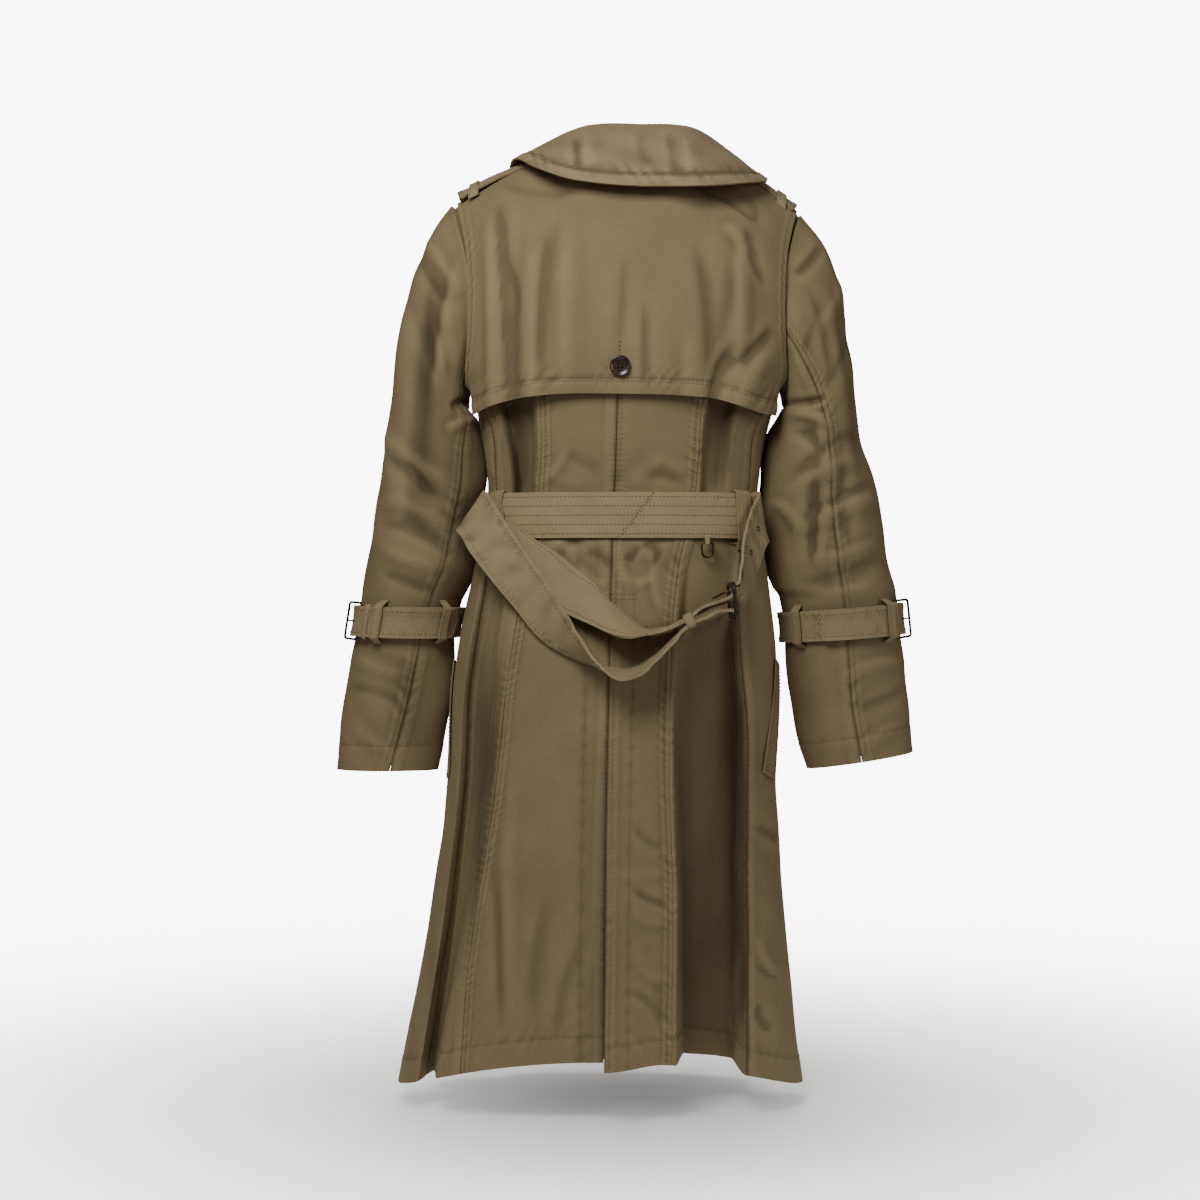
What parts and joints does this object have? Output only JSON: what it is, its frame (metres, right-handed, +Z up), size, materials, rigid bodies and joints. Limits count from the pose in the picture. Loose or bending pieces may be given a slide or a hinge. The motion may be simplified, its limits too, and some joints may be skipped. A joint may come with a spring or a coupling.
{
  "type": "trench coat",
  "caption": "Women's belted double-breasted trench coat with a storm flap, epaulettes and cuff straps, filled out and open at neck, cuffs and hem.",
  "frame": {"origin": "middle of the neck opening at the height of the back neck seam, where a hanger's hook holds the coat", "axes": "+Z up along the coat's length, front towards -Y, back towards +Y, the wearer's left towards +X"},
  "size_m": [0.6303, 0.3271, 1.0282],
  "materials": {
    "gabardine": "olive-tan cotton gabardine, matt with a faint twill line",
    "button_horn": "dark mottled horn, polished",
    "buckle_leather": "dark brown leather-covered buckle, soft shine",
    "ring_metal": "aged brass ring"
  },
  "bodies": {
    "root": {"back_left": "gabardine", "back_right": "gabardine", "vent_underlap": "gabardine", "side_back_left": "gabardine", "side_back_right": "gabardine", "front_left": "gabardine", "front_right": "gabardine", "lapel_left": "gabardine", "lapel_right": "gabardine", "storm_flap": "gabardine", "sleeve_upper_left": "gabardine", "sleeve_upper_right": "gabardine", "sleeve_under_left": "gabardine", "sleeve_under_right": "gabardine", "collar_stand": "gabardine", "collar_fall": "gabardine", "epaulette_left": "gabardine", "epaulette_right": "gabardine", "epaulette_loop_left": "gabardine", "epaulette_loop_right": "gabardine", "cuff_strap_left": "gabardine", "cuff_strap_right": "gabardine", "cuff_loop_a_left": "gabardine", "cuff_loop_b_left": "gabardine", "cuff_loop_a_right": "gabardine", "cuff_loop_b_right": "gabardine", "cuff_keeper_left": "gabardine", "cuff_keeper_right": "gabardine", "cuff_buckle_left": "buckle_leather", "cuff_buckle_right": "buckle_leather", "pocket_welt_left": "gabardine", "pocket_welt_right": "gabardine", "belt": "gabardine", "belt_buckle": "buckle_leather", "belt_keeper": "gabardine", "belt_loop_left": "gabardine", "belt_loop_right": "gabardine", "d_ring": "ring_metal", "d_ring_tab": "gabardine", "button_storm_flap": "button_horn", "button_left_1": "button_horn", "button_left_2": "button_horn", "button_left_3": "button_horn", "button_left_4": "button_horn", "button_right_1": "button_horn", "button_right_2": "button_horn", "button_right_3": "button_horn", "button_right_4": "button_horn"}
  },
  "joints": []
}
